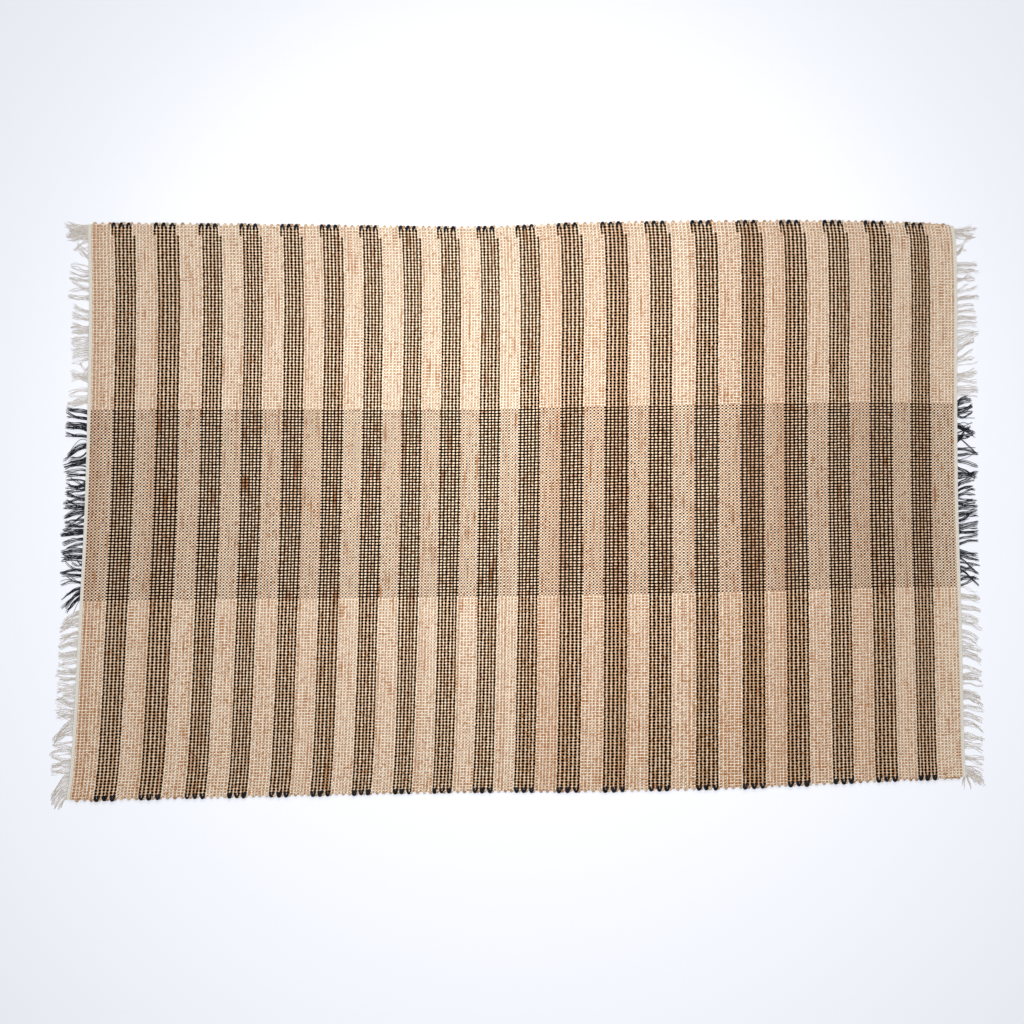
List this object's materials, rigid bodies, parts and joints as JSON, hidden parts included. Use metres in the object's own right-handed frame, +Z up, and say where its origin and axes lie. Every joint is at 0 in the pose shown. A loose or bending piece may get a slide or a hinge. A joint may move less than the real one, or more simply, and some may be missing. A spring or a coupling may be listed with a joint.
{
  "type": "handwoven rug",
  "caption": "Flat handwoven rug with a jute field in weft stripes, a dark band of warp along its middle, cotton headings and a fringe at both short ends.",
  "frame": {"origin": "on the floor, under the middle of the rug's box, fringe included", "axes": "+X along the rug's length, +Y across its width to the far long edge, +Z up"},
  "size_m": [1.9668, 1.2496, 0.0052],
  "materials": {
    "jute": "coarse spun jute, matt, natural tan with dark cotton stripes",
    "cotton_cream": "twisted cotton yarn, undyed cream, matt",
    "cotton_black": "twisted cotton yarn, dyed black, matt"
  },
  "bodies": {
    "root": {"field": "jute", "heading_left": "cotton_cream", "heading_right": "cotton_cream", "fringe_left_far": "cotton_cream", "fringe_left_black": "cotton_black", "fringe_left_near": "cotton_cream", "fringe_right_far": "cotton_cream", "fringe_right_black": "cotton_black", "fringe_right_near": "cotton_cream"}
  },
  "joints": []
}
